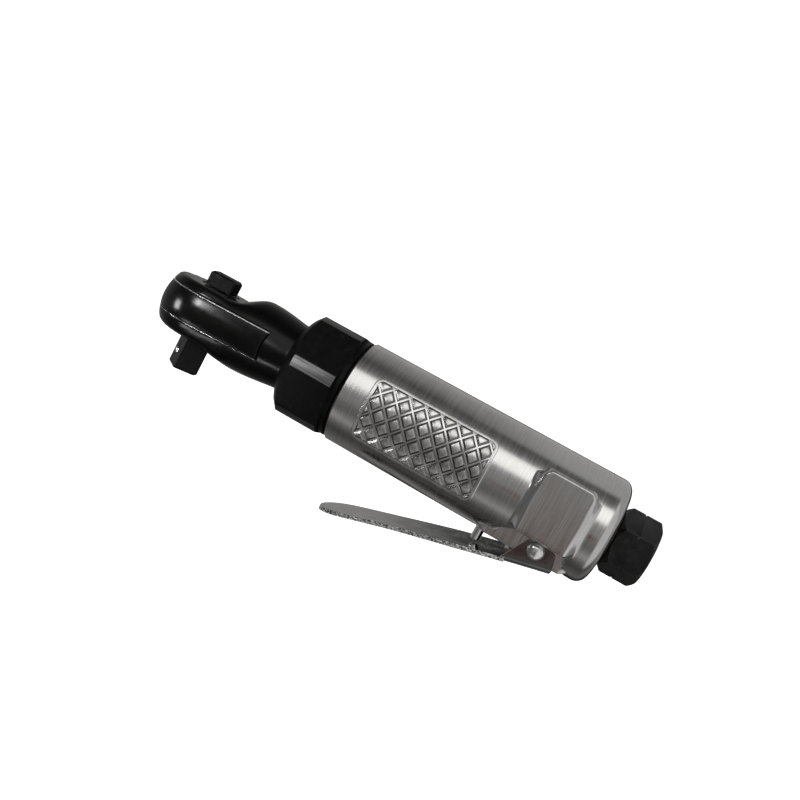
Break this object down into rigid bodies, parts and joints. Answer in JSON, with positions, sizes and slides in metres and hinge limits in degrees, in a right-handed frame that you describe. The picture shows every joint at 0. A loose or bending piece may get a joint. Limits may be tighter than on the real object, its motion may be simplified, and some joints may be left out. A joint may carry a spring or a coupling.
{
  "type": "air ratchet",
  "caption": "Compact in-line air ratchet: round brushed housing with a squeeze lever, a flat forked head with a square drive and reverse knob, and a hex air inlet.",
  "frame": {"origin": "centre of the square drive's end face", "axes": "+X from the head along the body to the air inlet, +Z from the drive to the reverse knob, +Y to the tool's far side"},
  "size_m": [0.1939, 0.0406, 0.0614],
  "materials": {
    "housing_steel": "brushed round the barrel",
    "head_black": "gloss black",
    "black_oxide": "satin black oxide",
    "polished_steel": "polished",
    "machined_steel": "machined",
    "bronze": "sintered",
    "vane_phenolic": "matt laminate",
    "seal_rubber": "matt"
  },
  "bodies": {
    "root": {"motor_housing": "housing_steel", "clamp_nut": "black_oxide", "ratchet_housing": "head_black", "inlet_bushing": "black_oxide", "inlet_seal": "seal_rubber", "inlet_screen": "bronze", "motor_cylinder": "machined_steel", "front_end_plate": "machined_steel", "rear_end_plate": "machined_steel", "front_bearing": "polished_steel", "rear_bearing": "polished_steel", "ring_gear": "machined_steel", "crank_bearing": "bronze", "gear_spacer": "machined_steel", "valve_guide": "bronze", "valve_seat": "bronze", "valve_spring": "machined_steel", "lever_pin": "polished_steel", "cylinder_dowel": "machined_steel", "motor_gasket": "seal_rubber", "thrust_washer": "bronze", "retaining_ring": "machined_steel"},
    "rotor": {"rotor": "machined_steel", "vane_1": "vane_phenolic", "vane_2": "vane_phenolic", "vane_3": "vane_phenolic", "vane_4": "vane_phenolic", "vane_5": "vane_phenolic"},
    "carrier": {"crank_shaft": "machined_steel", "crank_bushing": "bronze", "planet_pin_1": "machined_steel", "planet_pin_2": "machined_steel", "planet_pin_3": "machined_steel"},
    "planet_1": {"planet_gear_1": "machined_steel"},
    "planet_2": {"planet_gear_2": "machined_steel"},
    "planet_3": {"planet_gear_3": "machined_steel"},
    "yoke": {"ratchet_yoke": "head_black"},
    "anvil": {"drive_anvil": "black_oxide", "pawl_pin": "machined_steel", "detent_spring": "machined_steel"},
    "pawl": {"ratchet_pawl": "machined_steel"},
    "knob": {"reverse_knob": "black_oxide", "reverse_plunger": "machined_steel"},
    "detent": {"detent_ball": "polished_steel"},
    "valve": {"throttle_valve": "polished_steel"},
    "lever": {"throttle_lever": "polished_steel"}
  },
  "joints": [
    {"name": "lever_squeeze", "type": "hinge", "parent": "root", "child": "lever", "pos_m": [0.1422, 0, 0.0088], "axis": [0, 1, 0], "range_deg": [0, 13.5], "stiffness_Nm_per_rad": 1, "springref_deg": -28.65},
    {"name": "valve_push", "type": "slide", "parent": "root", "child": "valve", "axis": [0, 0, 1], "range_m": [0, 0.0052], "stiffness_N_per_m": 60, "springref_m": -0.002, "deforming": ["valve_spring"]},
    {"name": "rotor_spin", "type": "hinge", "parent": "root", "child": "rotor", "pos_m": [0.088, 0, 0.0235], "axis": [1, 0, 0], "continuous": true},
    {"name": "carrier_spin", "type": "hinge", "parent": "root", "child": "carrier", "pos_m": [0.053, 0, 0.0235], "axis": [1, 0, 0], "continuous": true},
    {"name": "planet_1_spin", "type": "hinge", "parent": "carrier", "child": "planet_1", "pos_m": [0.0584, 0, 0.03142], "axis": [1, 0, 0], "continuous": true},
    {"name": "planet_2_spin", "type": "hinge", "parent": "carrier", "child": "planet_2", "pos_m": [0.0584, -0.00686, 0.01954], "axis": [1, 0, 0], "continuous": true},
    {"name": "planet_3_spin", "type": "hinge", "parent": "carrier", "child": "planet_3", "pos_m": [0.0584, 0.00686, 0.01954], "axis": [1, 0, 0], "continuous": true},
    {"name": "yoke_swing", "type": "hinge", "parent": "root", "child": "yoke", "pos_m": [0, 0, 0.0235], "axis": [0, 0, 1], "range_deg": [-3.4, 3.4]},
    {"name": "drive_spin", "type": "hinge", "parent": "root", "child": "anvil", "pos_m": [0, 0, 0.0235], "axis": [0, 0, 1], "continuous": true},
    {"name": "knob_turn", "type": "hinge", "parent": "anvil", "child": "knob", "pos_m": [0, 0, 0.0235], "axis": [0, 0, 1], "range_deg": [0, 56]},
    {"name": "pawl_rock", "type": "hinge", "parent": "anvil", "child": "pawl", "pos_m": [0.00534, 0.00388, 0.0235], "axis": [0, 0, 1], "range_deg": [0, 14]},
    {"name": "detent_press", "type": "slide", "parent": "anvil", "child": "detent", "axis": [0.809, 0.5878, 0], "range_m": [0, 0.0007], "stiffness_N_per_m": 400, "springref_m": -0.0005}
  ],
  "couplings": [
    {"joint": "valve_push", "follows": "lever_squeeze", "m_per_rad": 0.0203},
    {"joint": "carrier_spin", "follows": "rotor_spin", "ratio": 0.25},
    {"joint": "planet_1_spin", "follows": "rotor_spin", "ratio": -0.75},
    {"joint": "planet_2_spin", "follows": "rotor_spin", "ratio": -0.75},
    {"joint": "planet_3_spin", "follows": "rotor_spin", "ratio": -0.75},
    {"joint": "pawl_rock", "follows": "knob_turn", "ratio": 0.25}
  ]
}
